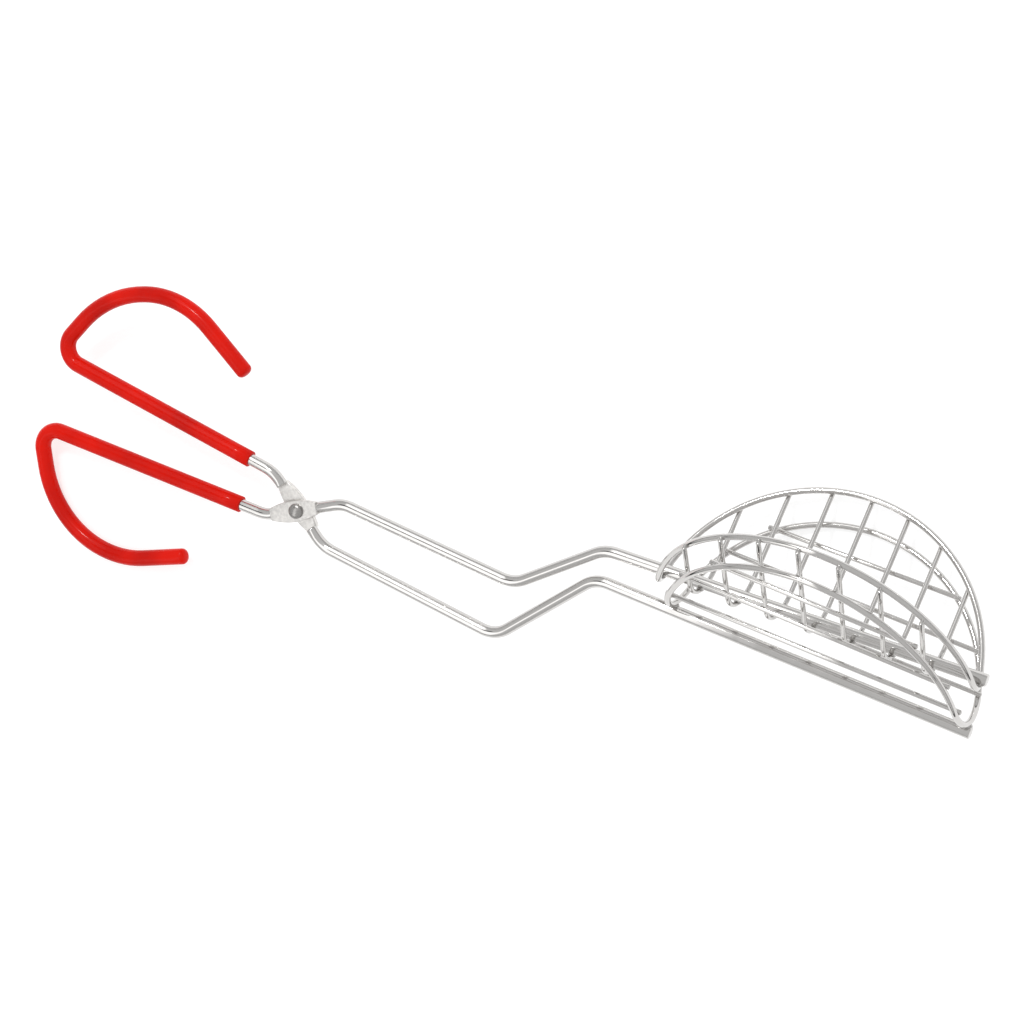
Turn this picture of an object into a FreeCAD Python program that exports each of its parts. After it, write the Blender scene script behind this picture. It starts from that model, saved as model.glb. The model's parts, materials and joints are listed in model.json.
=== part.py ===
import FreeCAD, Part
import math
import os

# Taco-shell frying tongs: two crossed wire arms on one rivet, each arm carrying a
# V-shaped wire cage at one end and a plastic-dipped finger loop at the other.
# Millimetres. The tongs are drawn flat about the rivet: X along the outer arm's cage,
# Z towards the mouth of the V, Y along the rivet. The finished pieces are then laid
# down on one side, as the tongs rest on a table.

Vec = FreeCAD.Vector

# wire and sleeve sizes
ARM_DIA = 5.0
RING_DIA = 2.6
BAR_DIA = 2.0
SLEEVE_DIA = 7.0
SLEEVE_CAP = 2.2         # closed end, past the wire
SLEEVE_ROUND = 2.0       # its rounded edge
WELD_BITE = 0.2          # how far two welded wires run into each other
JOINT_BEAD = 0.06        # how far a butt weld in a ring stands proud

# pivot
FLAT_THICK = 2.4
FLAT_GAP = 0.1           # between the two flats
FLAT_LENGTH = 23.4
FLAT_WIDTH = 9.2
FLAT_END = 5.0
FLAT_SHIFT = -1.6        # middle of a flat, along its arm from the rivet
FLAT_OVERLAP = 0.8       # round wire runs this far into the flat
SHANK_DIA = 4.0
SHANK_PLAY = 0.05        # radial, in the inner arm
HEAD_DIA = 6.5
HEAD_HEIGHT = 1.9
TAIL_DIA = 6.2
TAIL_HEIGHT = 1.5
HEAD_RIM = 0.5
HEAD_PLAY = 0.06

# inner arm, from the free end of its finger loop to the tip of its cage rod (X, Z)
INNER_POINTS = [
    (-50.1, -41.4), (-77.3, -53.4), (-115.0, -53.5), (-133.5, -9.8), (-14.7, -7.8),
    (19.5, 10.3), (102.9, 6.9), (137.6, 35.85), (300.7, 45.3)]
INNER_BENDS = [43.6, 42.6, 7.8, 14.0, 14.0, 15.0, 15.0]
INNER_SLEEVE_START = (-27.4, -8.0)

# outer arm, in the same order
OUTER_POINTS = [
    (-39.6, 49.0), (-76.0, 70.3), (-111.9, 58.4), (-131.8, 24.1), (-15.5, 11.6),
    (14.8, -11.1), (100.7, -17.7), (136.8, 22.75), (300.7, 22.75)]
OUTER_BENDS = [40.4, 50.1, 8.0, 16.0, 16.0, 13.0, 13.0]
OUTER_SLEEVE_START = (-27.6, 12.9)

PIVOT_BEND = 4           # index of the point just before the rivet

# cages: a round ring of wire folded into two leaves, each at "half" degrees to the
# middle plane; heights run up a leaf from the line where the leaf planes meet. "roll"
# turns a cage about its rod, and "skew" moves its front leaf towards the tip and its
# back leaf as far the other way. "near_in" and "near_pull" draw the rivet end of the
# ring in from a true circle, at the start and at the bottom of its fold.
INNER_RING = {"middle": 92.4, "radius": 68.8, "centre": -3.3, "fold": 15.0,
              "half": 36.0, "roll": -1.7, "skew": 1.2, "near_in": 0.6, "near_pull": 1.2}
OUTER_RING = {"middle": 96.8, "radius": 65.5, "centre": 4.6, "fold": 26.0,
              "half": 34.6, "roll": 0.0, "skew": 0.0, "near_in": 1.6, "near_pull": 3.5}

RIB_COUNT = 7
RIB_FIRST = 42.8
RIB_PITCH = 16.39
RIB_PAST_RING = 0.6
# stringer heights where they cross the ring, at the rivet end and at the tip end
FRONT_STRINGERS = [(55.8, 54.5), (39.9, 37.7), (24.4, 24.6)]
BACK_STRINGERS = [(55.9, 57.4), (40.3, 40.3), (24.4, 24.7)]
STRINGER_PAST_RING = 0.8

# how the tongs lie on the table: degrees about X, then about Y
LAY_ROLL = -80.49
LAY_PITCH = -2.92


def flat_point(pair):
    return Vec(pair[0], 0, pair[1])


def bent_path(points, bends):
    """Straight runs joined by tangent arcs, one bend radius for each inner point."""
    pieces = []
    start = points[0]
    for corner, after, radius in zip(points[1:-1], points[2:], bends):
        back = (start - corner).normalize()
        ahead = (after - corner).normalize()
        half = back.getAngle(ahead) / 2
        reach = radius / math.tan(half)
        middle = (back + ahead).normalize() * (radius / math.sin(half) - radius)
        first = corner + back * reach
        last = corner + ahead * reach
        pieces.append(Part.LineSegment(start, first))
        pieces.append(Part.Arc(first, corner + middle, last))
        start = last
    pieces.append(Part.LineSegment(start, points[-1]))
    return pieces


def round_section(place, along, dia):
    return Part.Face(Part.Wire(Part.makeCircle(dia / 2, place, along)))


def wire_piece(curve, dia):
    """Round wire along one straight run or one arc."""
    edge = curve.toShape()
    start = edge.valueAt(edge.FirstParameter)
    along = edge.tangentAt(edge.FirstParameter)
    section = round_section(start, along, dia)
    if isinstance(curve, Part.LineSegment):
        return section.extrude(curve.EndPoint - curve.StartPoint)
    bow = edge.Curve
    turn = math.degrees(edge.Length / bow.Radius)
    return section.revolve(bow.Center, bow.Axis, turn)


def join(solids):
    return solids[0].multiFuse(solids[1:]).removeSplitter()


def wire_along(curves, dia):
    return join([wire_piece(curve, dia) for curve in curves])


def pivot_axis(points):
    """Direction of an arm where it passes the rivet."""
    before = flat_point(points[PIVOT_BEND])
    after = flat_point(points[PIVOT_BEND + 1])
    return (after - before).normalize()


def flat_plate(along, near_side):
    """The eye-shaped flat of one arm, on the near or the far side of the parting."""
    up = Vec(-along.z, 0, along.x)
    middle = along * FLAT_SHIFT
    ends = [middle - along * (FLAT_LENGTH / 2), middle + along * (FLAT_LENGTH / 2)]
    edge_up = up * (FLAT_END / 2)
    left_low = ends[0] - edge_up
    left_high = ends[0] + edge_up
    right_low = ends[1] - edge_up
    right_high = ends[1] + edge_up
    crown = up * (FLAT_WIDTH / 2)
    outline = Part.Wire([
        Part.Arc(left_low, middle - crown, right_low).toShape(),
        Part.makeLine(right_low, right_high),
        Part.Arc(right_high, middle + crown, left_high).toShape(),
        Part.makeLine(left_high, left_low)])
    plate = Part.Face(outline).extrude(Vec(0, FLAT_THICK, 0))
    lift = -FLAT_THICK - FLAT_GAP / 2 if near_side else FLAT_GAP / 2
    plate.translate(Vec(0, lift, 0))
    return plate


def arm(points, bends, near_side, bore):
    """One arm: round wire each side of the rivet, and the flat between them."""
    along = pivot_axis(points)
    path = [flat_point(pair) for pair in points]
    whole = wire_along(bent_path(path, bends), ARM_DIA)
    half_flat = FLAT_LENGTH / 2 - FLAT_OVERLAP
    gap = Part.makeBox(2 * half_flat, 4 * ARM_DIA, 4 * ARM_DIA,
                       Vec(-half_flat, -2 * ARM_DIA, -2 * ARM_DIA))
    gap.rotate(Vec(0, 0, 0), Vec(0, 1, 0), -math.degrees(math.atan2(along.z, along.x)))
    gap.translate(along * FLAT_SHIFT)
    body = whole.cut(gap).fuse(flat_plate(along, near_side))
    hole = Part.makeCylinder(bore / 2, 8 * ARM_DIA, Vec(0, -4 * ARM_DIA, 0), Vec(0, 1, 0))
    return body.cut(hole).removeSplitter()


def sleeve(points, bends, start):
    """Dipped plastic round a finger loop, open at the start and closed at the end."""
    loop = [flat_point(pair) for pair in [start] + points[PIVOT_BEND - 1::-1]]
    loop_bends = bends[PIVOT_BEND - 2::-1]
    core = wire_along(bent_path(loop, loop_bends), ARM_DIA)
    skin = wire_along(bent_path(loop, loop_bends), SLEEVE_DIA)
    ahead = (loop[-1] - loop[-2]).normalize()
    cap = Part.makeCylinder(SLEEVE_DIA / 2, SLEEVE_CAP, loop[-1], ahead)
    outer_rim = max(cap.Edges, key=lambda edge: edge.CenterOfMass.distanceToPoint(loop[-2]))
    cap = cap.makeFillet(SLEEVE_ROUND, [outer_rim])
    return skin.fuse(cap).cut(core).removeSplitter()


def dome(base, along, dia, height):
    """A low domed head with a short straight rim."""
    radius = dia / 2
    side = Vec(1, 0, 0)
    rim = base + along * HEAD_RIM
    top = base + along * height
    rise = height - HEAD_RIM
    ball = (radius * radius + rise * rise) / (2 * rise)
    lean = math.asin(radius / ball) / 2
    shoulder = top - along * (ball * (1 - math.cos(lean))) + side * (ball * math.sin(lean))
    outline = Part.Wire([
        Part.makeLine(base, base + side * radius),
        Part.makeLine(base + side * radius, rim + side * radius),
        Part.Arc(rim + side * radius, shoulder, top).toShape(),
        Part.makeLine(top, base)])
    return Part.Face(outline).revolve(base, along, 360)


def rivet():
    stack = FLAT_THICK + FLAT_GAP / 2
    near = Vec(0, -stack - HEAD_PLAY, 0)
    far = Vec(0, stack, 0)
    shank = Part.makeCylinder(SHANK_DIA / 2, far.y - near.y, near, Vec(0, 1, 0))
    head = dome(near, Vec(0, -1, 0), HEAD_DIA, HEAD_HEIGHT)
    tail = dome(far, Vec(0, 1, 0), TAIL_DIA, TAIL_HEIGHT)
    return join([shank, head, tail])


class Cage:
    """Places on one cage: along its rod, then up and out on either leaf of the V."""

    def __init__(self, points, ring, rod_side):
        corner = flat_point(points[-2])
        self.run = (flat_point(points[-1]) - corner).normalize()
        self.rise = Vec(-self.run.z, 0, self.run.x)
        self.origin = corner
        self.ring = ring
        self.half = math.radians(ring["half"])
        self.roll = math.radians(ring["roll"])
        fold = self.fold_shape()
        touch = (ARM_DIA + RING_DIA) / 2 - WELD_BITE
        self.apex = rod_side * touch - fold["bottom"]

    def fold_shape(self):
        """The arc that joins the two leaves, tangent to both."""
        ring = self.ring
        slant = math.asin((ring["fold"] - ring["centre"]) / ring["radius"])
        lean = math.atan(math.tan(slant) / math.cos(self.half))
        spread = math.cos(slant) * math.sin(self.half)
        bow = ring["fold"] * math.sin(self.half) / math.sqrt(1 - spread * spread)
        drop = bow * (1 - spread)
        reach = self.half_chord(ring["fold"])
        return {"reach": reach,
                "tip": reach + drop * math.sin(lean),
                "bottom": ring["fold"] * math.cos(self.half) - drop * math.cos(lean)}

    def half_chord(self, height):
        ring = self.ring
        return math.sqrt(ring["radius"] ** 2 - (height - ring["centre"]) ** 2)

    def place(self, along, up, across=0.0):
        """A point by its distance along the rod, above its axis and across."""
        rolled_up = up * math.cos(self.roll) - across * math.sin(self.roll)
        rolled_across = up * math.sin(self.roll) + across * math.cos(self.roll)
        return (self.origin + self.run * along + self.rise * rolled_up
                + Vec(0, rolled_across, 0))

    def on_leaf(self, side, along, height, out=0.0):
        """A point on the leaf at side -1 or 1, moved outwards from its plane."""
        up = self.apex + height * math.cos(self.half) - out * math.sin(self.half)
        across = height * math.sin(self.half) + out * math.cos(self.half)
        return self.place(along, up, side * across)

    def leaf_middle(self, side):
        return self.ring["middle"] - side * self.ring["skew"]

    def crossing(self, side, end, height):
        """Distance along the rod where the ring passes a height, at end -1 or 1."""
        ring = self.ring
        high = max(height, ring["fold"])
        top = ring["centre"] + ring["radius"]
        drawn_in = ring["near_in"] * (top - high) / (top - ring["fold"]) if end < 0 else 0
        return self.leaf_middle(side) + end * self.half_chord(high) + drawn_in

    def ring_wire(self):
        ring = self.ring
        fold = self.fold_shape()
        top = ring["centre"] + ring["radius"]
        bottom = self.apex + fold["bottom"]
        curves = []
        beads = []
        for side in (-1, 1):
            near = self.on_leaf(side, self.crossing(side, -1, ring["fold"]), ring["fold"])
            far = self.on_leaf(side, self.crossing(side, 1, ring["fold"]), ring["fold"])
            curves.append(Part.Arc(near, self.on_leaf(side, self.leaf_middle(side), top), far))
            beads += [Part.makeSphere(RING_DIA / 2 + JOINT_BEAD, near),
                      Part.makeSphere(RING_DIA / 2 + JOINT_BEAD, far)]
        tips = {-1: ring["middle"] - fold["tip"] + ring["near_pull"],
                1: ring["middle"] + fold["tip"]}
        for end, tip in tips.items():
            curves.append(Part.Arc(
                self.on_leaf(-1, self.crossing(-1, end, ring["fold"]), ring["fold"]),
                self.place(tip, bottom),
                self.on_leaf(1, self.crossing(1, end, ring["fold"]), ring["fold"])))
        return join([wire_piece(curve, RING_DIA) for curve in curves] + beads)

    def rib_top(self, side, along):
        """Height up a leaf where the rib at this distance along the rod ends."""
        off_middle = along - self.leaf_middle(side)
        ring = self.ring
        return ring["centre"] + math.sqrt(ring["radius"] ** 2 - off_middle ** 2) + RIB_PAST_RING

    def rib(self, along):
        """A V of thin wire round the outside of the ring and under the rod."""
        out = (RING_DIA + BAR_DIA) / 2 - WELD_BITE
        under = -(ARM_DIA + BAR_DIA) / 2 + WELD_BITE
        corner_up = self.apex - out / math.sin(self.half)
        bend = (under - corner_up) / (1 / math.sin(self.half) - 1)
        points = [self.on_leaf(-1, along, self.rib_top(-1, along), out),
                  self.place(along, corner_up),
                  self.on_leaf(1, along, self.rib_top(1, along), out)]
        return wire_along(bent_path(points, [bend]), BAR_DIA)

    def stringer(self, side, heights):
        """A straight thin wire along the inside of one leaf."""
        out = -((RING_DIA + BAR_DIA) / 2 - WELD_BITE)
        ends = []
        for end, height in zip((-1, 1), heights):
            past = RING_DIA / 2 + STRINGER_PAST_RING
            along = self.crossing(side, end, height) + end * past
            ends.append(self.on_leaf(side, along, height, out))
        return wire_piece(Part.LineSegment(ends[0], ends[1]), BAR_DIA)


def tongs():
    """Every piece by name, drawn about the rivet."""
    pieces = {
        "inner_arm": arm(INNER_POINTS, INNER_BENDS, True, SHANK_DIA + 2 * SHANK_PLAY),
        "outer_arm": arm(OUTER_POINTS, OUTER_BENDS, False, SHANK_DIA),
        "inner_grip": sleeve(INNER_POINTS, INNER_BENDS, INNER_SLEEVE_START),
        "outer_grip": sleeve(OUTER_POINTS, OUTER_BENDS, OUTER_SLEEVE_START),
        "pivot_rivet": rivet(),
    }
    inner = Cage(INNER_POINTS, INNER_RING, -1)
    outer = Cage(OUTER_POINTS, OUTER_RING, 1)
    pieces["inner_ring"] = inner.ring_wire()
    pieces["outer_ring"] = outer.ring_wire()
    for number in range(RIB_COUNT):
        pieces[f"inner_rib_{number + 1}"] = inner.rib(RIB_FIRST + number * RIB_PITCH)
    for number, heights in enumerate(FRONT_STRINGERS):
        pieces[f"outer_front_stringer_{number + 1}"] = outer.stringer(-1, heights)
    for number, heights in enumerate(BACK_STRINGERS):
        pieces[f"outer_back_stringer_{number + 1}"] = outer.stringer(1, heights)
    return pieces


def corners(shapes):
    """Lowest and highest corner of the pieces together, from a fine mesh."""
    points = [p for shape in shapes for p in shape.tessellate(0.02)[0]]
    low = Vec(min(p.x for p in points), min(p.y for p in points), min(p.z for p in points))
    high = Vec(max(p.x for p in points), max(p.y for p in points), max(p.z for p in points))
    return low, high


def lay_down(pieces):
    """Turn the tongs onto their side, with the origin under the middle of their box."""
    origin = Vec(0, 0, 0)
    for shape in pieces.values():
        shape.rotate(origin, Vec(1, 0, 0), LAY_ROLL)
        shape.rotate(origin, Vec(0, 1, 0), LAY_PITCH)
    low, high = corners(pieces.values())
    middle = (low + high) / 2
    for shape in pieces.values():
        shape.translate(Vec(-middle.x, -middle.y, -low.z))
    return Vec(-middle.x, -middle.y, -low.z)


def main():
    os.makedirs("parts", exist_ok=True)
    pieces = tongs()
    pivot = lay_down(pieces)
    for name, shape in pieces.items():
        solids = len(shape.Solids)
        print(f"{name}: solids {solids}, valid {shape.isValid()}, volume {shape.Volume:.1f}")
        shape.exportStep(f"parts/{name}.step")
    low, high = corners(pieces.values())
    print("pivot at", pivot, "size", high - low)


main()
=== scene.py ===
import json
import math

import bmesh
import bpy
from bpy.props import (
    FloatProperty, FloatVectorProperty, IntProperty, PointerProperty)
from bpy.types import Operator, Panel, PropertyGroup
from mathutils import Matrix, Vector


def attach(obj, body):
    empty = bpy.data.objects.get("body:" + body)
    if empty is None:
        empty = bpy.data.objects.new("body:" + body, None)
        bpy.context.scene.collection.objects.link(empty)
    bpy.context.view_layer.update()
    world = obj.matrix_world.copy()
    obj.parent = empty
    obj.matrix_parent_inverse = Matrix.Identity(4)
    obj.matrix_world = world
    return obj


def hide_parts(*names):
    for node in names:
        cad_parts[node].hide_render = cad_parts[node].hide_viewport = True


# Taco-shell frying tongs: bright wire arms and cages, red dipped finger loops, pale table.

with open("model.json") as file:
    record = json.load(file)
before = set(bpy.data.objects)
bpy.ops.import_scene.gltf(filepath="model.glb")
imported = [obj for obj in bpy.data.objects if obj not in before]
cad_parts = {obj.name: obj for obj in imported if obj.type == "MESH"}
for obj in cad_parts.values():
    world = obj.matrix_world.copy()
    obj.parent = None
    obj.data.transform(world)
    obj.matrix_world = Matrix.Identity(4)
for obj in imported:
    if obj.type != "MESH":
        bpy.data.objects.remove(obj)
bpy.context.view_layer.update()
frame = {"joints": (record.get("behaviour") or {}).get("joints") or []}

bl_info = {
    "name": "Wire Cage Tongs",
    "version": (1, 0, 0),
    "blender": (4, 5, 0),
    "location": "View3D > Sidebar > Tongs",
    "description": "Models a pair of taco-shell frying tongs, piece by piece",
    "category": "Add Mesh",
}

MM = 0.001
INNER = "inner"
OUTER = "outer"
HINGE = frame["joints"][0]

# Arm routes from the free end of the finger loop to the tip of the cage rod: X along the
# outer cage, Z towards the mouth of the V, both in millimetres from the rivet.
ROUTES = {
    INNER: {
        "points": [(-50.1, -41.4), (-77.3, -53.4), (-115.0, -53.5), (-133.5, -9.8),
                   (-14.7, -7.8), (19.5, 10.3), (102.9, 6.9), (137.6, 35.85),
                   (300.7, 45.3)],
        "bends": [43.6, 42.6, 7.8, 14.0, 14.0, 15.0, 15.0],
        "sleeve_start": (-27.4, -8.0),
        "stack": -1,
    },
    OUTER: {
        "points": [(-39.6, 49.0), (-76.0, 70.3), (-111.9, 58.4), (-131.8, 24.1),
                   (-15.5, 11.6), (14.8, -11.1), (100.7, -17.7), (136.8, 22.75),
                   (300.7, 22.75)],
        "bends": [40.4, 50.1, 8.0, 16.0, 16.0, 13.0, 13.0],
        "sleeve_start": (-27.6, 12.9),
        "stack": 1,
    },
}
BEFORE_RIVET = 4         # the route point just before the rivet

SHANK_RADIUS = 2.0 * MM
HEAD_PLAY = 0.06 * MM    # between the rivet's head and the flat under it
SHANK_BURY = 0.4 * MM    # shank length hidden inside the head and the tail together
DOME_POWER = 0.9         # 1 makes a half ellipse, less makes the dome's shoulder fuller
WIRE_BURY = 0.8 * MM     # round wire that runs into a flat
FLAT_EDGE = 0.45 * MM    # rounding of a flat's rim
SAME_PLACE = 1e-6        # points closer than this are one point


# ---------------------------------------------------------------- sizes and colours


def measure(name, description, default, precision=4):
    """A length in metres that the user can change."""
    return FloatProperty(name=name, description=description, default=default,
                         unit="LENGTH", precision=precision)


class WireSizes(PropertyGroup):
    """Gauges of the tongs' wires."""

    arm: measure("Arm wire", "Diameter of the arm wire", 5.0 * MM)
    ring: measure("Ring wire", "Diameter of the cage ring wire", 2.6 * MM)
    bar: measure("Thin wire", "Diameter of ribs and stringers", 2.0 * MM)
    bite: measure("Weld bite", "How far welded wires sink together", 0.2 * MM, 5)
    cut: measure("Cut edge", "Rounding on a cropped wire end", 0.45 * MM, 5)


class PivotSizes(PropertyGroup):
    """The flats stamped on the arms and the rivet through them."""

    thick: measure("Flat thickness", "Thickness of each flat", 2.4 * MM)
    gap: measure("Flat gap", "Play between the two flats", 0.1 * MM, 5)
    length: measure("Flat length", "Length of each flat", 23.4 * MM)
    width: measure("Flat width", "Width at the middle of a flat", 9.2 * MM)
    end: measure("Flat end", "Width at the two ends of a flat", 5.0 * MM)
    shift: measure("Flat shift", "Middle of a flat from the rivet", -1.6 * MM)
    bore: measure("Rivet hole", "Diameter of the hole in a flat", 4.1 * MM)
    head: measure("Rivet head", "Diameter of the domed head", 6.5 * MM)
    head_height: measure("Head height", "Height of the domed head", 1.9 * MM)
    tail: measure("Rivet tail", "Diameter of the peened tail", 6.2 * MM)
    tail_height: measure("Tail height", "Height of the peened tail", 1.5 * MM)


class GripSizes(PropertyGroup):
    """The dipped vinyl sleeves."""

    sleeve: measure("Sleeve", "Outer diameter of the sleeve", 7.0 * MM)
    cap: measure("Closed end", "Height of the sleeve's closed end", 2.2 * MM)
    lip: measure("Lip", "Rounding of the sleeve's open mouth", 0.35 * MM, 5)


class CageSizes(PropertyGroup):
    """The two folded rings and the thin wires on them."""

    inner_half: FloatProperty(name="Inner half angle",
                              description="Angle from middle plane to an inner leaf",
                              default=math.radians(36.0), subtype="ANGLE")
    outer_half: FloatProperty(name="Outer half angle",
                              description="Angle from middle plane to an outer leaf",
                              default=math.radians(34.6), subtype="ANGLE")
    rib_count: IntProperty(name="Ribs", description="Ribs on the inner cage",
                           default=7, min=1)
    rib_first: measure("First rib", "Place of the first rib", 42.8 * MM)
    rib_pitch: measure("Rib pitch", "Distance between ribs", 16.39 * MM)
    rib_past: measure("Rib overrun", "Rib past the ring's middle", 0.6 * MM)
    stringer_past: measure("Stringer overrun", "Stringer past the ring's outer edge",
                           0.8 * MM)
    front_near: FloatVectorProperty(name="Front, rivet end",
                                    description="Front stringer heights at the rivet end",
                                    default=(55.8 * MM, 39.9 * MM, 24.4 * MM),
                                    unit="LENGTH", size=3, precision=4)
    front_far: FloatVectorProperty(name="Front, tip end",
                                   description="Front stringer heights at the tip end",
                                   default=(54.5 * MM, 37.7 * MM, 24.6 * MM),
                                   unit="LENGTH", size=3, precision=4)
    back_near: FloatVectorProperty(name="Back, rivet end",
                                   description="Back stringer heights at the rivet end",
                                   default=(55.9 * MM, 40.3 * MM, 24.4 * MM),
                                   unit="LENGTH", size=3, precision=4)
    back_far: FloatVectorProperty(name="Back, tip end",
                                  description="Back stringer heights at the tip end",
                                  default=(57.4 * MM, 40.3 * MM, 24.7 * MM),
                                  unit="LENGTH", size=3, precision=4)


class Finish(PropertyGroup):
    """Colours of the metal, the vinyl and the table."""

    steel: FloatVectorProperty(name="Wire", description="Colour of the bright wire",
                               default=(0.60, 0.587, 0.573), subtype="COLOR")
    satin: FloatVectorProperty(name="Flats", description="Colour of the stamped flats",
                               default=(0.76, 0.74, 0.715), subtype="COLOR")
    rivet: FloatVectorProperty(name="Rivet", description="Colour of the rivet",
                               default=(0.36, 0.35, 0.34), subtype="COLOR")
    vinyl: FloatVectorProperty(name="Vinyl", description="Colour of the dipped vinyl",
                               default=(0.585, 0.0065, 0.0012), subtype="COLOR")
    table: FloatVectorProperty(name="Table", description="Colour of the table top",
                               default=(0.42, 0.42, 0.42), subtype="COLOR")


class Studio(PropertyGroup):
    """Where the camera stands."""

    azimuth: FloatProperty(name="Azimuth", description="Heading of the camera's look",
                           default=math.radians(-122.081), subtype="ANGLE")
    elevation: FloatProperty(name="Elevation", description="Camera height over the table",
                             default=math.radians(68.375), subtype="ANGLE")
    roll: FloatProperty(name="Roll", description="Turn of the camera about its look",
                        default=math.radians(102.417), subtype="ANGLE")
    distance: FloatProperty(name="Distance", description="Camera to the aimed point",
                            default=1.1909, unit="LENGTH")
    aim: FloatVectorProperty(name="Aim", description="The aimed point, from the rivet",
                             default=(0.09481, 0.03569, 0.01309), subtype="TRANSLATION")
    lens: FloatProperty(name="Lens", description="Focal length in millimetres",
                        default=103.43)


class TongsSettings(PropertyGroup):
    """Everything a user would change."""

    wire: PointerProperty(type=WireSizes)
    pivot: PointerProperty(type=PivotSizes)
    grip: PointerProperty(type=GripSizes)
    cage: PointerProperty(type=CageSizes)
    finish: PointerProperty(type=Finish)
    studio: PointerProperty(type=Studio)


def settings():
    return bpy.context.scene.tongs


# ---------------------------------------------------------------- places


LAY_ROLL = math.radians(-80.49)
LAY_PITCH = math.radians(-2.92)


def lay_matrix():
    """From the tongs' own plane to where they lie on the table."""
    turn = Matrix.Rotation(LAY_PITCH, 4, "Y") @ Matrix.Rotation(LAY_ROLL, 4, "X")
    return Matrix.Translation(Vector(HINGE["pos_m"])) @ turn


def on_plane(pair):
    return Vector((pair[0], 0.0, pair[1])) * MM


def bent_route(points, bends):
    """Straight runs and tangent arcs, as moves that the wire tool can follow."""
    moves = []
    start = points[0]
    for corner, after, radius in zip(points[1:-1], points[2:], bends):
        back = (start - corner).normalized()
        ahead = (after - corner).normalized()
        half = back.angle(ahead) / 2
        first = corner + back * (radius / math.tan(half))
        centre = corner + (back + ahead).normalized() * (radius / math.sin(half))
        axis = (-back).cross(ahead).normalized()
        moves.append(("run", first - start))
        moves.append(("bend", centre, axis, math.pi - 2 * half))
        start = corner + ahead * (radius / math.tan(half))
    moves.append(("run", points[-1] - start))
    return moves


def arc_move(start, middle, end):
    """The move along the arc through three points."""
    normal = (middle - start).cross(end - start).normalized()
    rows = Matrix((middle - start, end - start, normal))
    aims = Vector(((middle.dot(middle) - start.dot(start)) / 2,
                   (end.dot(end) - start.dot(start)) / 2,
                   normal.dot(start)))
    centre = rows.inverted() @ aims
    first = start - centre
    last = end - centre
    turn = math.atan2(first.cross(last).dot(normal), first.dot(last)) % (2 * math.pi)
    return ("bend", centre, normal, turn)


class Cage:
    """Places on one cage: along its rod, then up and out on either leaf of the V."""

    RINGS = {
        INNER: {"middle": 92.4 * MM, "radius": 68.8 * MM, "centre": -3.3 * MM,
                "fold": 15.0 * MM, "rod_side": -1, "roll": math.radians(-1.7),
                "skew": 1.2 * MM, "near_in": 0.6 * MM, "near_pull": 1.2 * MM},
        OUTER: {"middle": 96.8 * MM, "radius": 65.5 * MM, "centre": 4.6 * MM,
                "fold": 26.0 * MM, "rod_side": 1, "roll": 0.0, "skew": 0.0,
                "near_in": 1.6 * MM, "near_pull": 3.5 * MM},
    }

    def __init__(self, side):
        sizes = settings()
        points = ROUTES[side]["points"]
        self.origin = on_plane(points[-2])
        self.run = (on_plane(points[-1]) - self.origin).normalized()
        self.rise = Vector((-self.run.z, 0.0, self.run.x))
        self.ring = self.RINGS[side]
        self.half = sizes.cage.inner_half if side == INNER else sizes.cage.outer_half
        self.fold = self.fold_shape()
        touch = (sizes.wire.arm + sizes.wire.ring) / 2 - sizes.wire.bite
        self.apex = self.ring["rod_side"] * touch - self.fold["bottom"]

    def fold_shape(self):
        ring = self.ring
        slant = math.asin((ring["fold"] - ring["centre"]) / ring["radius"])
        lean = math.atan(math.tan(slant) / math.cos(self.half))
        spread = math.cos(slant) * math.sin(self.half)
        bow = ring["fold"] * math.sin(self.half) / math.sqrt(1 - spread * spread)
        drop = bow * (1 - spread)
        reach = self.half_chord(ring["fold"])
        return {"tip": reach + drop * math.sin(lean),
                "bottom": ring["fold"] * math.cos(self.half) - drop * math.cos(lean)}

    def half_chord(self, height):
        ring = self.ring
        return math.sqrt(ring["radius"] ** 2 - (height - ring["centre"]) ** 2)

    def leaf_middle(self, side):
        """The front leaf sits towards the tip and the back leaf as far the other way."""
        return self.ring["middle"] - side * self.ring["skew"]

    def leaf_height(self, side, along):
        """Height of the ring wire up its leaf, at a distance along the rod."""
        ring = self.ring
        off_middle = along - self.leaf_middle(side)
        return ring["centre"] + math.sqrt(ring["radius"] ** 2 - off_middle ** 2)

    def crossing(self, side, end, height):
        """Distance along the rod where the ring passes a height, at end -1 or 1."""
        ring = self.ring
        high = max(height, ring["fold"])
        top = ring["centre"] + ring["radius"]
        drawn_in = ring["near_in"] * (top - high) / (top - ring["fold"]) if end < 0 else 0
        return self.leaf_middle(side) + end * self.half_chord(high) + drawn_in

    def fold_tip(self, end):
        """Distance along the rod of the lowest point of the ring, at end -1 or 1."""
        drawn_in = self.ring["near_pull"] if end < 0 else 0
        return self.ring["middle"] + end * self.fold["tip"] + drawn_in

    def place(self, along, up, across=0.0):
        roll = self.ring["roll"]
        rolled_up = up * math.cos(roll) - across * math.sin(roll)
        rolled_across = up * math.sin(roll) + across * math.cos(roll)
        return (self.origin + self.run * along + self.rise * rolled_up
                + Vector((0, rolled_across, 0)))

    def on_leaf(self, side, along, height, out=0.0):
        up = self.apex + height * math.cos(self.half) - out * math.sin(self.half)
        across = height * math.sin(self.half) + out * math.cos(self.half)
        return self.place(along, up, side * across)


# ---------------------------------------------------------------- modelling helpers


def deselect():
    if bpy.context.object and bpy.context.object.mode != "OBJECT":
        bpy.ops.object.mode_set(mode="OBJECT")
    bpy.ops.object.select_all(action="DESELECT")


def choose(piece):
    """Make this piece the only selected one, and the active one."""
    deselect()
    piece.select_set(True)
    bpy.context.view_layer.objects.active = piece


def fix_origin(piece):
    """Bake the piece's place into its mesh."""
    choose(piece)
    bpy.ops.object.transform_apply(location=True, rotation=True, scale=True)


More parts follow.
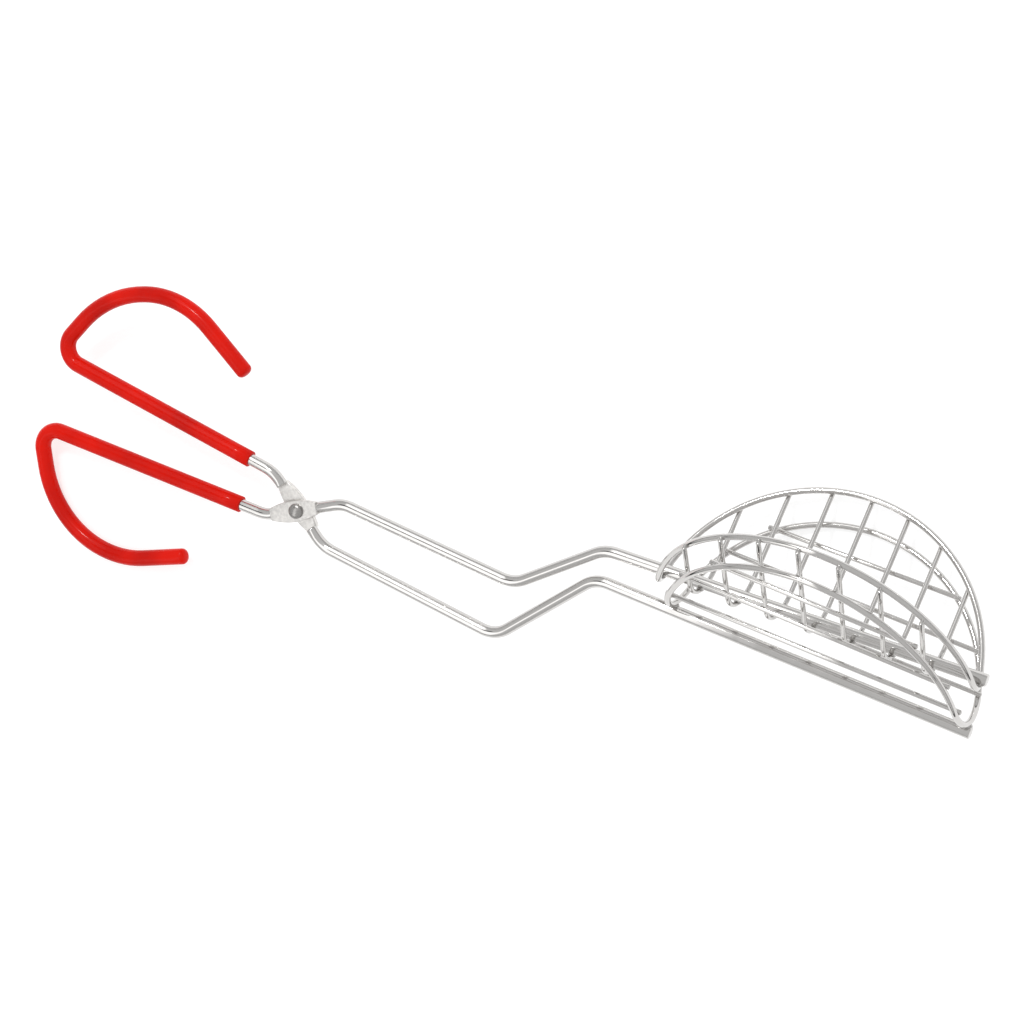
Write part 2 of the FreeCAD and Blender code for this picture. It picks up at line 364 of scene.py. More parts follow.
def facing(direction):
    return direction.to_track_quat("Z", "Y").to_euler()


def tidy_normals():
    bpy.ops.mesh.select_all(action="SELECT")
    bpy.ops.mesh.remove_doubles(threshold=SAME_PLACE)
    bpy.ops.mesh.normals_make_consistent(inside=False)


def pick(piece, test):
    """In edit mode, select just the edges that pass the test."""
    bpy.ops.mesh.select_mode(type="EDGE")
    bpy.ops.mesh.select_all(action="DESELECT")
    shape = bmesh.from_edit_mesh(piece.data)
    for edge in shape.edges:
        if test(edge):
            edge.select_set(True)
    shape.select_flush_mode()
    bmesh.update_edit_mesh(piece.data)


def smooth(piece, angle):
    choose(piece)
    bpy.ops.object.shade_smooth_by_angle(angle=math.radians(angle))


def start_ring(name, place, along, radius, sides):
    """A ring of points square to a direction, selected and ready to be pushed on."""
    deselect()
    bpy.ops.mesh.primitive_circle_add(vertices=sides, radius=radius, location=place,
                                      rotation=facing(along))
    piece = bpy.context.object
    piece.name = name
    fix_origin(piece)
    bpy.ops.object.mode_set(mode="EDIT")
    bpy.ops.mesh.select_all(action="SELECT")
    return piece


def wire(name, start, along, moves, diameter, sides=24, bend_step=5.0, closed=False,
         cut=None):
    """A round wire: one ring of points pushed along straight runs and spun round bends."""
    piece = start_ring(name, start, along, diameter / 2, sides)
    for move in moves:
        if move[0] == "run":
            bpy.ops.mesh.extrude_region_move(TRANSFORM_OT_translate={"value": move[1]})
        else:
            steps = max(3, round(math.degrees(move[3]) / bend_step))
            bpy.ops.mesh.spin(steps=steps, angle=-move[3], center=move[1], axis=move[2])
    if closed:
        bpy.ops.mesh.delete(type="VERT")
        pick(piece, lambda edge: edge.is_boundary)
        bpy.ops.mesh.bridge_edge_loops()
    else:
        fill_open_ends(piece)
        if cut:
            soften_ends(piece, sides, cut)
    tidy_normals()
    bpy.ops.object.mode_set(mode="OBJECT")
    return piece


def draw_line(name, points):
    """Start from one point and draw on to the others with the extrude tool."""
    deselect()
    bpy.ops.mesh.primitive_plane_add(size=MM, location=points[0])
    piece = bpy.context.object
    piece.name = name
    fix_origin(piece)
    bpy.ops.object.mode_set(mode="EDIT")
    bpy.ops.mesh.select_mode(type="VERT")
    bpy.ops.mesh.select_all(action="SELECT")
    bpy.ops.mesh.merge(type="CENTER")
    for before, after in zip(points[:-1], points[1:]):
        bpy.ops.mesh.extrude_region_move(TRANSFORM_OT_translate={"value": after - before})
    bpy.ops.mesh.select_all(action="SELECT")
    return piece


def fill_open_ends(piece):
    """Close any end that is still open."""
    pick(piece, lambda edge: edge.is_boundary)
    bpy.ops.mesh.fill_holes(sides=0)


def soften_ends(piece, sides, cut):
    """Round the rims of a wire's two end faces."""
    pick(piece, lambda edge: any(len(face.verts) == sides for face in edge.link_faces))
    bpy.ops.mesh.bevel(offset=cut, segments=3, affect="EDGES")


def join(name, pieces):
    deselect()
    for piece in pieces:
        piece.select_set(True)
    bpy.context.view_layer.objects.active = pieces[0]
    bpy.ops.object.join()
    piece = bpy.context.object
    piece.name = name
    return piece


def lay(piece):
    """Move a piece from the tongs' own plane to where they lie."""
    piece.matrix_world = lay_matrix() @ piece.matrix_world
    fix_origin(piece)


def hand_over(piece, body, nodes, angle=40):
    """Lay the finished piece down, shade it and give it to its body."""
    lay(piece)
    smooth(piece, angle)
    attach(piece, body)
    if nodes:
        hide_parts(*nodes)


# ---------------------------------------------------------------- materials


NOISE_LOW = 0.35         # where most of a noise value lies
NOISE_HIGH = 0.65


def new_material(name):
    material = bpy.data.materials.new(name)
    material.use_nodes = True
    nodes = material.node_tree.nodes
    return material, nodes, material.node_tree.links, nodes["Principled BSDF"]


def object_noise(nodes, links, scale, detail, stretch=(1, 1, 1)):
    """Noise on the object's own coordinates, in metres."""
    where = nodes.new("ShaderNodeTexCoord")
    fit = nodes.new("ShaderNodeMapping")
    fit.inputs["Scale"].default_value = stretch
    noise = nodes.new("ShaderNodeTexNoise")
    noise.inputs["Scale"].default_value = scale
    noise.inputs["Detail"].default_value = detail
    links.new(where.outputs["Object"], fit.inputs["Vector"])
    links.new(fit.outputs["Vector"], noise.inputs["Vector"])
    return noise


def spread(nodes, links, source, low, high):
    """Turn a noise value into a range."""
    ranger = nodes.new("ShaderNodeMapRange")
    ranger.inputs["From Min"].default_value = NOISE_LOW
    ranger.inputs["From Max"].default_value = NOISE_HIGH
    ranger.inputs["To Min"].default_value = low
    ranger.inputs["To Max"].default_value = high
    links.new(source, ranger.inputs["Value"])
    return ranger.outputs["Result"]


def bumped(nodes, links, shader, height, strength, distance):
    bump = nodes.new("ShaderNodeBump")
    bump.inputs["Strength"].default_value = strength
    bump.inputs["Distance"].default_value = distance
    links.new(height, bump.inputs["Height"])
    links.new(bump.outputs["Normal"], shader.inputs["Normal"])


def bright_wire(name, colour):
    """Polished drawn wire, with faint draw lines and smudges in the polish."""
    material, nodes, links, shader = new_material(name)
    shader.inputs["Base Color"].default_value = (*colour, 1)
    shader.inputs["Metallic"].default_value = 1.0
    smudge = object_noise(nodes, links, 160, 4)
    links.new(spread(nodes, links, smudge.outputs["Fac"], 0.05, 0.16),
              shader.inputs["Roughness"])
    grain = object_noise(nodes, links, 900, 2, (0.08, 1, 1))
    bumped(nodes, links, shader, grain.outputs["Fac"], 0.06, 0.05 * MM)
    return material


def satin_flat(name, colour):
    """Stamped steel with a fine pebbled skin."""
    material, nodes, links, shader = new_material(name)
    shader.inputs["Metallic"].default_value = 1.0
    tone = object_noise(nodes, links, 700, 4)
    mix = nodes.new("ShaderNodeMix")
    mix.data_type = "RGBA"
    mix.inputs["A"].default_value = (*[c * 0.82 for c in colour], 1)
    mix.inputs["B"].default_value = (*colour, 1)
    links.new(spread(nodes, links, tone.outputs["Fac"], 0, 1), mix.inputs["Factor"])
    links.new(mix.outputs["Result"], shader.inputs["Base Color"])
    shader.inputs["Roughness"].default_value = 0.38
    pebble = nodes.new("ShaderNodeTexVoronoi")
    pebble.inputs["Scale"].default_value = 1500
    where = nodes.new("ShaderNodeTexCoord")
    links.new(where.outputs["Object"], pebble.inputs["Vector"])
    bumped(nodes, links, shader, pebble.outputs["Distance"], 0.5, 0.12 * MM)
    return material


def rivet_steel(name, colour):
    """Darker steel, scuffed by the peening tool."""
    material, nodes, links, shader = new_material(name)
    shader.inputs["Base Color"].default_value = (*colour, 1)
    shader.inputs["Metallic"].default_value = 1.0
    scuff = object_noise(nodes, links, 900, 4)
    links.new(spread(nodes, links, scuff.outputs["Fac"], 0.16, 0.34),
              shader.inputs["Roughness"])
    bumped(nodes, links, shader, scuff.outputs["Fac"], 0.25, 0.08 * MM)
    return material


def weld_bead(name, colour):
    """Melted wire: a little darker and rougher than the wire."""
    material, nodes, links, shader = new_material(name)
    shader.inputs["Base Color"].default_value = (*[c * 0.8 for c in colour], 1)
    shader.inputs["Metallic"].default_value = 1.0
    ripple = object_noise(nodes, links, 1100, 3)
    links.new(spread(nodes, links, ripple.outputs["Fac"], 0.15, 0.32),
              shader.inputs["Roughness"])
    bumped(nodes, links, shader, ripple.outputs["Fac"], 0.6, 0.25 * MM)
    return material


def dipped_vinyl(name, colour):
    """Glossy dipped vinyl: soft waves in the skin and a little mottling."""
    material, nodes, links, shader = new_material(name)
    tone = object_noise(nodes, links, 45, 3)
    mix = nodes.new("ShaderNodeMix")
    mix.data_type = "RGBA"
    mix.inputs["A"].default_value = (colour[0] * 0.76, colour[1] * 0.7, colour[2], 1)
    mix.inputs["B"].default_value = (*colour, 1)
    links.new(spread(nodes, links, tone.outputs["Fac"], 0, 1), mix.inputs["Factor"])
    links.new(mix.outputs["Result"], shader.inputs["Base Color"])
    shader.inputs["Roughness"].default_value = 0.30
    shader.inputs["Specular IOR Level"].default_value = 0.05
    shader.inputs["Coat Weight"].default_value = 0.14
    shader.inputs["Coat Roughness"].default_value = 0.10
    wave = object_noise(nodes, links, 130, 2)
    bumped(nodes, links, shader, wave.outputs["Fac"], 0.22, 0.6 * MM)
    return material


def finish_of(kind):
    """The one shared material of each finish, made when first asked for."""
    colours = settings().finish
    makers = {
        "bright wire": (bright_wire, colours.steel),
        "satin flat": (satin_flat, colours.satin),
        "rivet steel": (rivet_steel, colours.rivet),
        "weld bead": (weld_bead, colours.steel),
        "dipped vinyl": (dipped_vinyl, colours.vinyl),
    }
    if kind in bpy.data.materials:
        return bpy.data.materials[kind]
    maker, colour = makers[kind]
    return maker(kind, tuple(colour))


def coat(piece, kind):
    piece.data.materials.clear()
    piece.data.materials.append(finish_of(kind))


# ---------------------------------------------------------------- arms


def rivet_direction(route):
    before = on_plane(route["points"][BEFORE_RIVET])
    after = on_plane(route["points"][BEFORE_RIVET + 1])
    return (after - before).normalized()


def arm_moves(route, from_loop):
    """The round wire on one side of the rivet: its start, heading and moves."""
    sizes = settings().pivot
    along = rivet_direction(route)
    points = [on_plane(pair) for pair in route["points"]]
    loop_end = along * (sizes.shift - sizes.length / 2 + WIRE_BURY)
    cage_end = along * (sizes.shift + sizes.length / 2 - WIRE_BURY)
    if from_loop:
        path = points[:BEFORE_RIVET + 1] + [loop_end]
        bends = route["bends"][:BEFORE_RIVET]
    else:
        path = [cage_end] + points[BEFORE_RIVET + 1:]
        bends = route["bends"][BEFORE_RIVET:]
    moves = bent_route(path, [radius * MM for radius in bends])
    return path[0], (path[1] - path[0]).normalized(), moves


def eye_plate(name, route):
    """The eye-shaped flat of one arm, with its rivet hole and rolled edges."""
    sizes = settings().pivot
    along = rivet_direction(route)
    up = Vector((-along.z, 0, along.x))
    arc_steps = 18
    rise = (sizes.width - sizes.end) / 2
    radius = (sizes.length ** 2 / 4 + rise ** 2) / (2 * rise)
    sweep = math.asin(sizes.length / 2 / radius)
    middle = along * sizes.shift
    near = sizes.gap / 2 if route["stack"] > 0 else -sizes.gap / 2 - sizes.thick
    rim = []
    for side in (-1, 1):
        for step in range(arc_steps + 1):
            turn = sweep * (2 * step / arc_steps - 1) * -side
            out = sizes.width / 2 - radius * (1 - math.cos(turn))
            place = middle + along * (radius * math.sin(turn)) + up * (side * out)
            rim.append(place + Vector((0, near, 0)))
    piece = draw_line(name, rim + [rim[0]])
    bpy.ops.mesh.remove_doubles(threshold=SAME_PLACE)
    bpy.ops.mesh.edge_face_add()
    bpy.ops.mesh.extrude_region_move(TRANSFORM_OT_translate={"value": (0, sizes.thick, 0)})
    tidy_normals()
    pick(piece, lambda edge: abs(edge.verts[0].co.y - edge.verts[1].co.y) < SAME_PLACE)
    bpy.ops.mesh.bevel(offset=FLAT_EDGE, segments=4, affect="EDGES")
    tidy_normals()
    bpy.ops.object.mode_set(mode="OBJECT")
    drill(piece, sizes.bore)
    return piece


def drill(piece, bore):
    """Cut the rivet hole through a flat."""
    deselect()
    bpy.ops.mesh.primitive_cylinder_add(vertices=40, radius=bore / 2, depth=20 * MM,
                                        rotation=(math.pi / 2, 0, 0))
    cutter = bpy.context.object
    choose(piece)
    hole = piece.modifiers.new("rivet_hole", "BOOLEAN")
    hole.operation = "DIFFERENCE"
    hole.object = cutter
    bpy.ops.object.modifier_apply(modifier=hole.name)
    bpy.data.objects.remove(cutter)


class TONGS_OT_arms(Operator):
    """Bend the two arm wires and stamp their flats"""

    bl_idname = "tongs.arms"
    bl_label = "Arms"

    def execute(self, context):
        sizes = context.scene.tongs
        for side, route in ROUTES.items():
            halves = []
            for from_loop in (True, False):
                start, along, moves = arm_moves(route, from_loop)
                part = wire(f"{side}_arm_wire", start, along, moves, sizes.wire.arm,
                            sides=32, cut=sizes.wire.cut)
                coat(part, "bright wire")
                halves.append(part)
            plate = eye_plate(f"{side}_arm_flat", route)
            coat(plate, "satin flat")
            piece = join(f"{side}_arm_bright", halves + [plate])
            hand_over(piece, side, [f"{side}_arm"], 35)
        return {"FINISHED"}


# ---------------------------------------------------------------- grips


SLEEVE_STEP = 8 * MM     # spacing of the sleeve's rings on a straight run
SLEEVE_TURN = 4          # and their spacing in degrees round a bend
MOUTH_DEPTH = 3 * MM     # how far the mouth is modelled inwards
CAP_POWER = 0.75         # 1 makes the closed end a half ellipse, less makes it fuller
CAP_TIP = 0.02           # its last ring over the sleeve


class TONGS_OT_grips(Operator):
    """Dip the finger loops in red vinyl"""

    bl_idname = "tongs.grips"
    bl_label = "Grips"

    def execute(self, context):
        sizes = context.scene.tongs
        for side, route in ROUTES.items():
            pairs = [route["sleeve_start"]] + route["points"][BEFORE_RIVET - 1::-1]
            path = [on_plane(pair) for pair in pairs]
            bends = [radius * MM for radius in route["bends"][BEFORE_RIVET - 2::-1]]
            piece = self.sleeve(side, path, bends, sizes)
            coat(piece, "dipped vinyl")
            hand_over(piece, side, [f"{side}_grip"], 60)
        return {"FINISHED"}

    def sleeve(self, side, path, bends, sizes):
        moves = bent_route(path, bends)
        along = (path[1] - path[0]).normalized()
        outward = (path[-1] - path[-2]).normalized()
        radius = sizes.grip.sleeve / 2
        piece = start_ring(f"{side}_grip_vinyl", path[0], along, radius, 32)
        for move in moves:
            if move[0] == "run":
                count = max(1, round(move[1].length / SLEEVE_STEP))
                for _ in range(count):
                    bpy.ops.mesh.extrude_region_move(
                        TRANSFORM_OT_translate={"value": move[1] / count})
            else:
                steps = max(4, round(math.degrees(move[3]) / SLEEVE_TURN))
                bpy.ops.mesh.spin(steps=steps, angle=-move[3], center=move[1], axis=move[2])
        self.round_end(path[-1], outward, sizes.grip.cap)
        self.mouth(piece, path[0], along, sizes)
        tidy_normals()
        bpy.ops.object.mode_set(mode="OBJECT")
        return piece

    def round_end(self, tip, outward, height):
        """Close the last ring as the round blob that a dip leaves."""
        rings = 7
        for step in range(1, rings + 1):
            low = (step - 1) / rings * math.pi / 2
            high = step / rings * math.pi / 2
            push = outward * height * (math.sin(high) - math.sin(low))
            shrink = (max(math.cos(high) ** CAP_POWER, CAP_TIP)
                      / math.cos(low) ** CAP_POWER)
            bpy.ops.mesh.extrude_region_move(TRANSFORM_OT_translate={"value": push})
            bpy.ops.transform.resize(
                value=(shrink,) * 3, center_override=tip + outward * height * math.sin(high))
        bpy.ops.mesh.edge_face_add()

    def mouth(self, piece, place, along, sizes):
        """Turn the open end in onto the wire with a rounded lip."""
        forward = -along * sizes.grip.lip * 0.6
        pick(piece, lambda edge: edge.is_boundary)
        bpy.ops.mesh.extrude_region_move(TRANSFORM_OT_translate={"value": forward})
        shrink = 1 - 2 * sizes.grip.lip / sizes.grip.sleeve
        bpy.ops.transform.resize(value=(shrink,) * 3, center_override=place + forward)
        bpy.ops.mesh.extrude_region_move(TRANSFORM_OT_translate={"value": (0, 0, 0)})
        inner = sizes.wire.arm / (sizes.grip.sleeve * shrink)
        bpy.ops.transform.resize(value=(inner,) * 3, center_override=place + forward)
        bpy.ops.mesh.extrude_region_move(
            TRANSFORM_OT_translate={"value": along * MOUTH_DEPTH})
        bpy.ops.mesh.edge_face_add()


# ---------------------------------------------------------------- rivet


class TONGS_OT_rivet(Operator):
    """Set the rivet through both flats"""

    bl_idname = "tongs.rivet"
    bl_label = "Rivet"

    def execute(self, context):
        sizes = context.scene.tongs.pivot
        stack = sizes.thick + sizes.gap / 2
        head_seat = -stack - HEAD_PLAY
        outline = self.outline(sizes.head / 2, 0.25 * MM, 0.6 * MM, sizes.head_height, 9)
        head = self.turned("rivet_head", outline, head_seat, -1)
        outline = self.outline(sizes.tail / 2, 0.2 * MM, 0.5 * MM, sizes.tail_height, 7)
        tail = self.turned("rivet_tail", outline, stack, 1)
        deselect()
        bpy.ops.mesh.primitive_cylinder_add(
            vertices=40, radius=SHANK_RADIUS, depth=2 * stack + SHANK_BURY,
            rotation=(math.pi / 2, 0, 0))
        shank = bpy.context.object
        fix_origin(shank)
        piece = join("pivot_rivet_set", [head, tail, shank])
        coat(piece, "rivet steel")
        hand_over(piece, OUTER, ["pivot_rivet"], 50)
        return {"FINISHED"}

    def outline(self, radius, chamfer, start, height, steps):
        """From the shank out to the rim, up to where the dome starts, and over it."""
        points = [(0, SHANK_RADIUS), (0, radius - chamfer), (chamfer, radius),
                  (start, radius)]
        for step in range(1, steps):
            turn = step / steps * math.pi / 2
            points.append((start + (height - start) * math.sin(turn) ** DOME_POWER,
                           radius * math.cos(turn)))
        points.append((height, 0.0))
        return points

    def turned(self, name, outline, seat, heading):
        """A turned solid about the rivet's axis."""
        piece = draw_line(name, [Vector((radius, seat + heading * rise, 0))
                                 for rise, radius in outline])
        bpy.ops.mesh.spin(steps=40, angle=2 * math.pi, center=(0, 0, 0), axis=(0, 1, 0),
                          use_auto_merge=True)
        tidy_normals()
        fill_open_ends(piece)
        tidy_normals()
        bpy.ops.object.mode_set(mode="OBJECT")
        return piece


# ---------------------------------------------------------------- cages


class TONGS_OT_rings(Operator):
    """Fold the two ring wires into leaves and weld them to the rods"""

    bl_idname = "tongs.rings"
    bl_label = "Rings"

    def execute(self, context):
        wire_sizes = context.scene.tongs.wire
        for side in (INNER, OUTER):
            cage = Cage(side)
            start, along, moves = self.route(cage)
            piece = wire(f"{side}_ring_wire", start, along, moves, wire_sizes.ring,
                         bend_step=3.0, closed=True)
            coat(piece, "bright wire")
            hand_over(piece, side, [f"{side}_ring"])
        return {"FINISHED"}

    def route(self, cage):
        """Front leaf, far fold, back leaf, near fold, and back to the start."""
        height = cage.ring["fold"]
        top = cage.ring["centre"] + cage.ring["radius"]
        bottom = cage.apex + cage.fold["bottom"]
        front_near, front_far, back_near, back_far = [
            cage.on_leaf(side, cage.crossing(side, end, height), height)
            for side in (-1, 1) for end in (-1, 1)]
        front_top = cage.on_leaf(-1, cage.leaf_middle(-1), top)
        back_top = cage.on_leaf(1, cage.leaf_middle(1), top)
        moves = [
            arc_move(front_near, front_top, front_far),
            arc_move(front_far, cage.place(cage.fold_tip(1), bottom), back_far),
            arc_move(back_far, back_top, back_near),
            arc_move(back_near, cage.place(cage.fold_tip(-1), bottom), front_near),
        ]
        centre, axis = moves[0][1], moves[0][2]
        return front_near, axis.cross(front_near - centre).normalized(), moves


def rib_places():
    """Distance of each rib along the inner rod."""
    sizes = settings().cage
    return [sizes.rib_first + number * sizes.rib_pitch
            for number in range(sizes.rib_count)]


class TONGS_OT_ribs(Operator):
    """Bend the ribs of the inner cage"""

    bl_idname = "tongs.ribs"
    bl_label = "Ribs"

    def execute(self, context):
        sizes = context.scene.tongs
        cage = Cage(INNER)
        out = (sizes.wire.ring + sizes.wire.bar) / 2 - sizes.wire.bite
        under = -(sizes.wire.arm + sizes.wire.bar) / 2 + sizes.wire.bite
        lowest = cage.apex - out / math.sin(cage.half)
        bend = (under - lowest) / (1 / math.sin(cage.half) - 1)
        for number, along in enumerate(rib_places(), 1):
            front_top, back_top = [cage.leaf_height(side, along) + sizes.cage.rib_past
                                   for side in (-1, 1)]
            path = [cage.on_leaf(-1, along, front_top, out), cage.place(along, lowest),
                    cage.on_leaf(1, along, back_top, out)]
            piece = wire(f"rib_{number}", path[0], (path[1] - path[0]).normalized(),
                         bent_route(path, [bend]), sizes.wire.bar, sides=20,
                         cut=sizes.wire.cut)
            coat(piece, "bright wire")
            hand_over(piece, INNER, [f"inner_rib_{number}"])
        return {"FINISHED"}


def stringer_heights():
    """For each leaf, the stringers' heights at the rivet end and at the tip end."""
    sizes = settings().cage
    return {-1: (sizes.front_near, sizes.front_far),
            1: (sizes.back_near, sizes.back_far)}


class TONGS_OT_stringers(Operator):
    """Lay the stringers of the outer cage"""

    bl_idname = "tongs.stringers"
    bl_label = "Stringers"

    def execute(self, context):
        sizes = context.scene.tongs
        cage = Cage(OUTER)
        out = -(sizes.wire.ring + sizes.wire.bar) / 2 + sizes.wire.bite
        past = sizes.wire.ring / 2 + sizes.cage.stringer_past
        heights = stringer_heights()
        for side, face in ((-1, "front"), (1, "back")):
            for number, (near, far) in enumerate(zip(*heights[side]), 1):
                start = cage.on_leaf(side, cage.crossing(side, -1, near) - past, near, out)
                end = cage.on_leaf(side, cage.crossing(side, 1, far) + past, far, out)
                piece = wire(f"{face}_stringer_{number}", start,
                             (end - start).normalized(), [("run", end - start)],
                             sizes.wire.bar, sides=20, cut=sizes.wire.cut)
                coat(piece, "bright wire")
                node = f"outer_{face}_stringer_{number}"
                hand_over(piece, OUTER, [node])
        return {"FINISHED"}


LEAF_WELD = 0.95 * MM    # radius of a bead between a ring and a thin wire
LEAF_WELD_OUT = 1.2 * MM         # and its distance from the ring's middle
RIB_WELD = 1.25 * MM     # radius of a bead between a rib and the rod
RIB_WELD_UNDER = -2.55 * MM      # and its height from the rod's middle
ROD_WELD = 1.5 * MM      # radius of a bead between a ring and its rod
ROD_WELD_OUT = 2.45 * MM         # and its distance from the rod's middle
WELD_STRETCH = 1.35      # length of a bead over its width
WELD_UNEVEN = 0.12       # how much the width differs from bead to bead


class TONGS_OT_welds(Operator):
    """Add the small weld beads where wires cross"""

    bl_idname = "tongs.welds"
    bl_label = "Welds"

    def execute(self, context):
        inner = Cage(INNER)
        beads = self.on_rod(inner)
        for along in rib_places():
            beads.append((inner.place(along, RIB_WELD_UNDER), inner.run, RIB_WELD))
            for side in (-1, 1):
                height = inner.leaf_height(side, along)
                place = inner.on_leaf(side, along, height, LEAF_WELD_OUT)
                up_leaf = inner.on_leaf(side, along, height + MM, LEAF_WELD_OUT) - place
                beads.append((place, up_leaf.normalized(), LEAF_WELD))
        self.piece(beads, INNER)
        outer = Cage(OUTER)
        beads = self.on_rod(outer)
        for side, rows in stringer_heights().items():
            for end, row in zip((-1, 1), rows):
                for height in row:
                    place = outer.on_leaf(side, outer.crossing(side, end, height), height,
                                          -LEAF_WELD_OUT)
                    beads.append((place, outer.run, LEAF_WELD))
        self.piece(beads, OUTER)
        return {"FINISHED"}

    def on_rod(self, cage):
        """Beads at both ends of the cage, where the folded ring meets the rod."""
        return [(cage.place(cage.fold_tip(end), cage.ring["rod_side"] * ROD_WELD_OUT),
                 cage.run, ROD_WELD) for end in (-1, 1)]

    def piece(self, beads, side):
        """One lumpy bead for each crossing, a little longer along its wire."""
        lumps = []
        for number, (place, along, radius) in enumerate(beads):
            deselect()
            bpy.ops.mesh.primitive_uv_sphere_add(segments=14, ring_count=9, radius=radius,
                                                 location=place, rotation=facing(along))
            lump = bpy.context.object
            width = 1.0 + WELD_UNEVEN * math.sin(2.3 * number)
            lump.scale = (1.0, width, WELD_STRETCH)
            fix_origin(lump)
            lumps.append(lump)
        piece = join(f"{side}_welds", lumps)
        coat(piece, "weld bead")
        hand_over(piece, side, None, 60)


# ---------------------------------------------------------------- stage


ROOM_LEVEL = 1.08

# What bright metal mirrors: each panel's brightness, then the bands of direction that
# it fills, as an axis with the lowest and highest share along it and how soft it ends.
UP = (0, 0, 1)
ALONG = (1, 0, 0)
TENT = (
    (0.90, ((UP, -2, 2, 0.1),)),
    (0.05, ((UP, -0.05, 0.08, 0.02),)),
    (2.2, ((UP, 0.45, 2, 0.03), (ALONG, -0.50, -0.26, 0.03))),
    (0.35, ((UP, 0.40, 0.45, 0.01),)),
    (0.02, (((-0.49, 0.04, 0.87), 0.989, 2, 0.001),)),
)


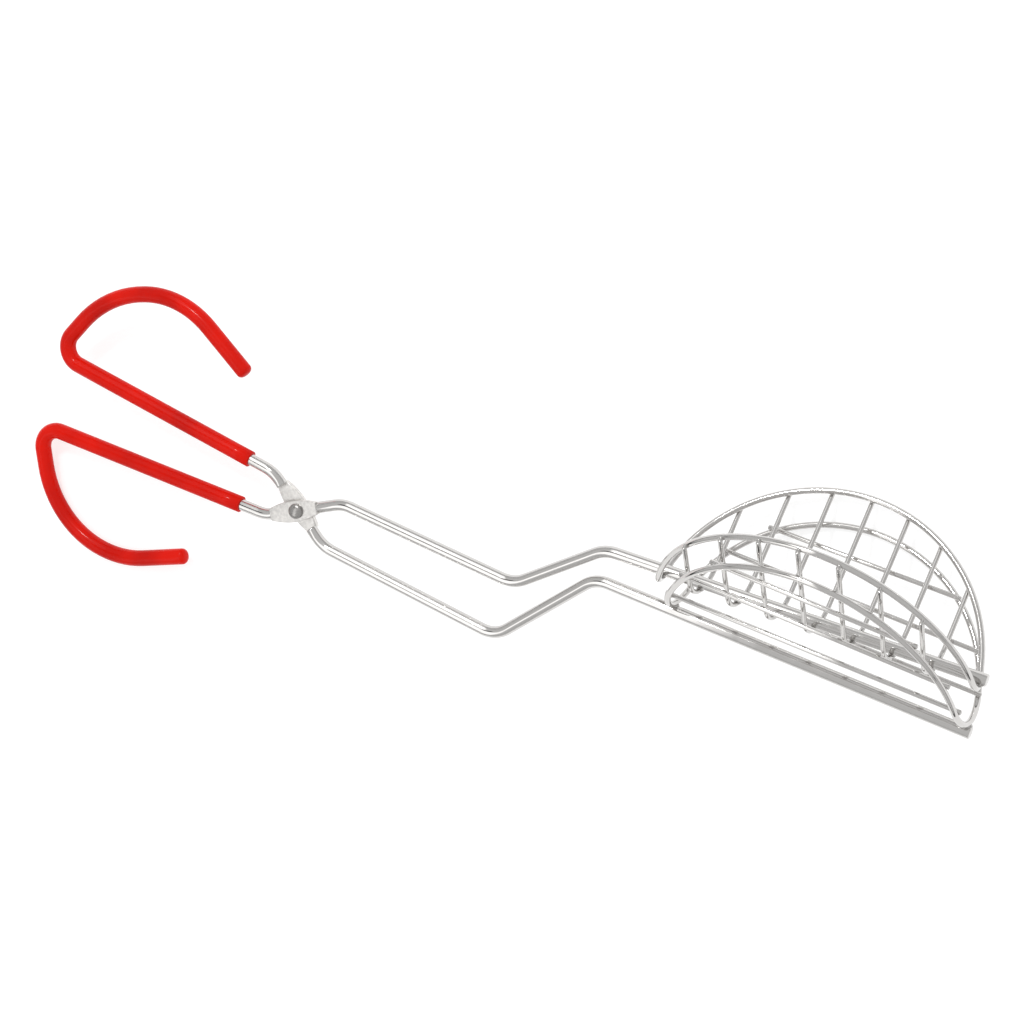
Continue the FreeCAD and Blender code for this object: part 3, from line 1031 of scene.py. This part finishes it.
class TONGS_OT_stage(Operator):
    """Set the table, the lights and the camera"""

    bl_idname = "tongs.stage"
    bl_label = "Table, lights and camera"

    def execute(self, context):
        self.table(context.scene.tongs.finish.table)
        self.room(context.scene)
        self.lamp("key_softbox", place=(-0.5, 0.9, 1.5), aim=(0, 0, 0), size=0.25, power=9)
        self.camera(context.scene)
        return {"FINISHED"}

    def table(self, colour):
        deselect()
        bpy.ops.mesh.primitive_plane_add(size=14, location=(0, 0, 0))
        top = bpy.context.object
        top.name = "table_top"
        fix_origin(top)
        material, _, _, shader = new_material("table paint")
        shader.inputs["Base Color"].default_value = (*colour, 1)
        shader.inputs["Roughness"].default_value = 0.6
        # The table top also glows white by itself. This is painted light: it lifts the top
        # to white and fills in the shadows cast on it.
        shader.inputs["Emission Color"].default_value = (1, 1, 1, 1)
        shader.inputs["Emission Strength"].default_value = 0.64
        top.data.materials.append(material)

    def room(self, scene):
        """A plain white room; shiny pieces mirror a tent of brighter and darker panels."""
        world = bpy.data.worlds.new("white studio")
        scene.world = world
        world.use_nodes = True
        nodes = world.node_tree.nodes
        links = world.node_tree.links
        plain = nodes["Background"]
        plain.inputs["Color"].default_value = (1, 1, 1, 1)
        plain.inputs["Strength"].default_value = ROOM_LEVEL
        where = nodes.new("ShaderNodeTexCoord")
        level = None
        for brightness, bands in TENT:
            mask = None
            for axis, low, high, soft in bands:
                band = self.band(nodes, links, where.outputs["Generated"], axis, low, high,
                                 soft)
                mask = band if mask is None else self.product(nodes, links, mask, band)
            level = self.layer(nodes, links, level, brightness, mask)
        tent = nodes.new("ShaderNodeBackground")
        links.new(level, tent.inputs["Strength"])
        path = nodes.new("ShaderNodeLightPath")
        choose = nodes.new("ShaderNodeMixShader")
        links.new(path.outputs["Is Glossy Ray"], choose.inputs["Fac"])
        links.new(plain.outputs["Background"], choose.inputs[1])
        links.new(tent.outputs["Background"], choose.inputs[2])
        links.new(choose.outputs["Shader"], nodes["World Output"].inputs["Surface"])

    def band(self, nodes, links, direction, axis, low, high, soft):
        """One where the direction's share along an axis is between two values."""
        share = nodes.new("ShaderNodeVectorMath")
        share.operation = "DOT_PRODUCT"
        share.inputs[1].default_value = axis
        links.new(direction, share.inputs[0])
        edges = []
        for edge, ends in ((low, (0.0, 1.0)), (high, (1.0, 0.0))):
            step = nodes.new("ShaderNodeMapRange")
            step.interpolation_type = "SMOOTHSTEP"
            step.inputs["From Min"].default_value = edge - soft
            step.inputs["From Max"].default_value = edge + soft
            step.inputs["To Min"].default_value = ends[0]
            step.inputs["To Max"].default_value = ends[1]
            links.new(share.outputs["Value"], step.inputs["Value"])
            edges.append(step.outputs["Result"])
        return self.product(nodes, links, *edges)

    def product(self, nodes, links, first, second):
        times = nodes.new("ShaderNodeMath")
        times.operation = "MULTIPLY"
        links.new(first, times.inputs[0])
        links.new(second, times.inputs[1])
        return times.outputs["Value"]

    def layer(self, nodes, links, under, brightness, mask):
        """Lay one panel of the tent over those before it."""
        mix = nodes.new("ShaderNodeMix")
        if under is None:
            mix.inputs["A"].default_value = 0.0
        else:
            links.new(under, mix.inputs["A"])
        mix.inputs["B"].default_value = brightness
        links.new(mask, mix.inputs["Factor"])
        return mix.outputs["Result"]

    def lamp(self, name, place, aim, size, power):
        light = bpy.data.lights.new(name, "AREA")
        light.shape = "DISK"
        light.size = size
        light.energy = power
        lamp = bpy.data.objects.new(name, light)
        bpy.context.scene.collection.objects.link(lamp)
        lamp.location = place
        heading = Vector(aim) - Vector(place)
        lamp.rotation_euler = heading.to_track_quat("-Z", "Y").to_euler()

    def camera(self, scene):
        stand = scene.tongs.studio
        level = math.cos(stand.elevation)
        look = Vector((math.sin(stand.azimuth) * level, math.cos(stand.azimuth) * level,
                       -math.sin(stand.elevation)))
        lens = bpy.data.cameras.new("studio_camera")
        lens.lens = stand.lens
        lens.sensor_width = 36.0
        lens.clip_start = 0.05
        camera = bpy.data.objects.new("studio_camera", lens)
        scene.collection.objects.link(camera)
        level_up = (Vector(UP) - look * look.z).normalized()
        up = Matrix.Rotation(stand.roll, 3, look) @ level_up
        right = look.cross(up)
        turn = Matrix((right, up, -look)).transposed()
        place = Vector(HINGE["pos_m"]) + Vector(stand.aim) - look * stand.distance
        camera.matrix_world = Matrix.Translation(place) @ turn.to_4x4()
        scene.camera = camera
        scene.view_settings.view_transform = "Standard"


# ---------------------------------------------------------------- panel and registration


class TONGS_PT_panel(Panel):
    """Lists the steps that make the tongs"""

    bl_label = "Tongs"
    bl_idname = "TONGS_PT_panel"
    bl_space_type = "VIEW_3D"
    bl_region_type = "UI"
    bl_category = "Tongs"

    def draw(self, context):
        for step in STEPS:
            self.layout.operator(step.bl_idname)
        chosen = context.scene.tongs
        for group in (chosen.wire, chosen.pivot, chosen.grip, chosen.cage, chosen.finish,
                      chosen.studio):
            column = self.layout.column(align=True)
            for name in group.bl_rna.properties.keys():
                if name not in ("rna_type", "name"):
                    column.prop(group, name)


GROUPS = (WireSizes, PivotSizes, GripSizes, CageSizes, Finish, Studio, TongsSettings)
STEPS = (TONGS_OT_arms, TONGS_OT_grips, TONGS_OT_rivet, TONGS_OT_rings, TONGS_OT_ribs,
         TONGS_OT_stringers, TONGS_OT_welds, TONGS_OT_stage)


def register():
    for group in GROUPS + STEPS + (TONGS_PT_panel,):
        bpy.utils.register_class(group)
    bpy.types.Scene.tongs = PointerProperty(type=TongsSettings)


def unregister():
    del bpy.types.Scene.tongs
    for group in reversed(GROUPS + STEPS + (TONGS_PT_panel,)):
        bpy.utils.unregister_class(group)


def main():
    register()
    for step in STEPS:
        module, name = step.bl_idname.split(".")
        getattr(getattr(bpy.ops, module), name)()


if __name__ == "__main__":
    main()
